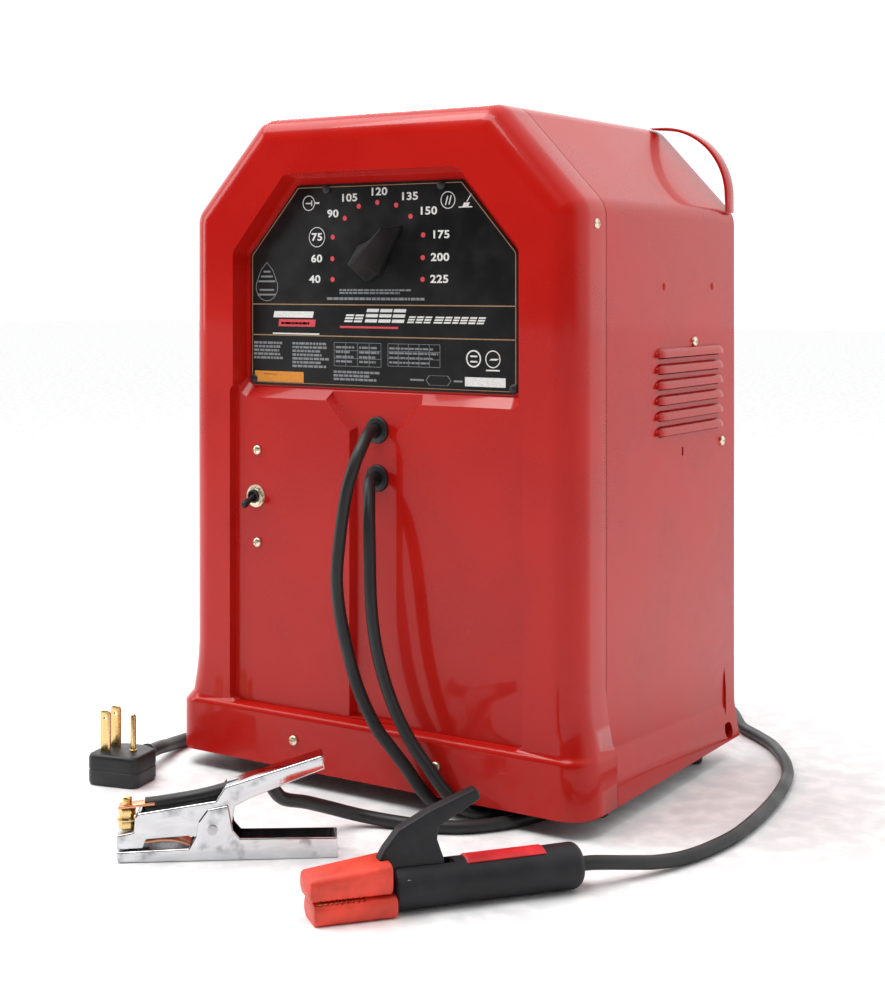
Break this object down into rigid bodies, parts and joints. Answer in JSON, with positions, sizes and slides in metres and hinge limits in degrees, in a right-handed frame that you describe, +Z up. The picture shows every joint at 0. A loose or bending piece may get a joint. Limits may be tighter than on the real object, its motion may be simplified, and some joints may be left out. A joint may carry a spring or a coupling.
{
  "type": "stick welder",
  "caption": "Transformer stick welder in a pressed red steel case, with a current selector dial, line switch, lift straps, electrode holder, work clamp and power cord.",
  "frame": {"origin": "on the floor under the middle of the case, without the cords and what is on them", "axes": "+Z up, -Y towards the front panel, +X to the right as seen from the front"},
  "size_m": [0.7495, 0.7706, 0.61],
  "materials": {
    "red_enamel": "glossy baked red enamel on pressed sheet steel",
    "black_plate": "satin black overlay on a metal plate with printed dial marks",
    "black_plastic": "moulded black plastic, fine texture",
    "black_rubber": "black rubber, slight sheen",
    "zinc": "yellow zinc plated steel",
    "steel": "plain steel",
    "core_steel": "varnished steel laminations",
    "copper": "copper winding and contacts",
    "aluminium": "aluminium winding and fan",
    "brass": "bright brass",
    "chrome": "nickel-chrome plated pressed steel",
    "phenolic": "brown phenolic board",
    "tip_red": "orange-red glass-filled insulator"
  },
  "bodies": {
    "root": {"front_cover": "red_enamel", "wrap_cover": "red_enamel", "rear_panel": "red_enamel", "lift_handle_left": "red_enamel", "lift_handle_right": "red_enamel", "base_pan": "steel", "core_bracket_left": "steel", "core_bracket_right": "steel", "fan_motor": "steel", "fan_bracket": "steel", "holder_pivot": "steel", "holder_spring": "steel", "clamp_pivot": "steel", "clamp_spring": "steel", "foot_front_left": "black_rubber", "foot_front_right": "black_rubber", "foot_rear_left": "black_rubber", "foot_rear_right": "black_rubber", "electrode_lead_bushing": "black_rubber", "work_lead_bushing": "black_rubber", "electrode_lead_front": "black_rubber", "electrode_lead_coil": "black_rubber", "electrode_lead_rear": "black_rubber", "work_lead_front": "black_rubber", "work_lead_coil": "black_rubber", "work_lead_rear": "black_rubber", "power_cord_front": "black_rubber", "power_cord_coil": "black_rubber", "power_cord_rear": "black_rubber", "plug_body": "black_rubber", "power_cord_gland": "black_plastic", "line_switch_body": "black_plastic", "holder_handle": "black_plastic", "switch_screw_upper": "zinc", "switch_screw_lower": "zinc", "skirt_screw_left": "zinc", "skirt_screw_right": "zinc", "side_screw_left": "zinc", "side_screw_right": "zinc", "toggle_nut": "zinc", "nameplate": "black_plate", "transformer_core": "core_steel", "primary_coil": "copper", "secondary_coil": "aluminium", "selector_switch_body": "phenolic", "plug_blade_near": "brass", "plug_blade_far": "brass", "plug_ground_pin": "brass", "holder_lower_jaw": "tip_red", "clamp_lower_jaw": "chrome"},
    "selector": {"selector_knob": "black_plastic", "selector_shaft": "steel", "selector_wiper": "copper"},
    "line_switch_lever": {"toggle_lever": "black_plastic"},
    "fan": {"fan_shaft": "steel", "fan_blade": "aluminium"},
    "holder_arm": {"holder_lever": "black_plastic", "holder_upper_jaw": "tip_red"},
    "clamp_arm": {"clamp_upper_jaw": "chrome", "clamp_bolt": "brass"}
  },
  "joints": [
    {"name": "selector_turn", "type": "hinge", "parent": "root", "child": "selector", "pos_m": [0, -0.137, 0.4827], "axis": [0, 1, 0], "range_deg": [-168, 72]},
    {"name": "line_switch_flip", "type": "hinge", "parent": "root", "child": "line_switch_lever", "pos_m": [-0.133, -0.1495, 0.258], "axis": [-1, 0, 0], "range_deg": [0, 50]},
    {"name": "fan_spin", "type": "hinge", "parent": "root", "child": "fan", "pos_m": [0, 0.1085, 0.24], "axis": [0, 1, 0], "continuous": true},
    {"name": "holder_squeeze", "type": "hinge", "parent": "root", "child": "holder_arm", "pos_m": [0.17605, -0.35479, 0.024], "axis": [-0.7934, 0.6088, 0], "range_deg": [0, 12], "stiffness_Nm_per_rad": 6, "springref_deg": -20.05, "deforming": ["holder_spring"]},
    {"name": "clamp_squeeze", "type": "hinge", "parent": "root", "child": "clamp_arm", "pos_m": [-0.0161, -0.34154, 0.0247], "axis": [-0.6088, 0.7934, 0], "range_deg": [0, 20], "stiffness_Nm_per_rad": 5, "springref_deg": -22.92, "deforming": ["clamp_spring"]}
  ]
}
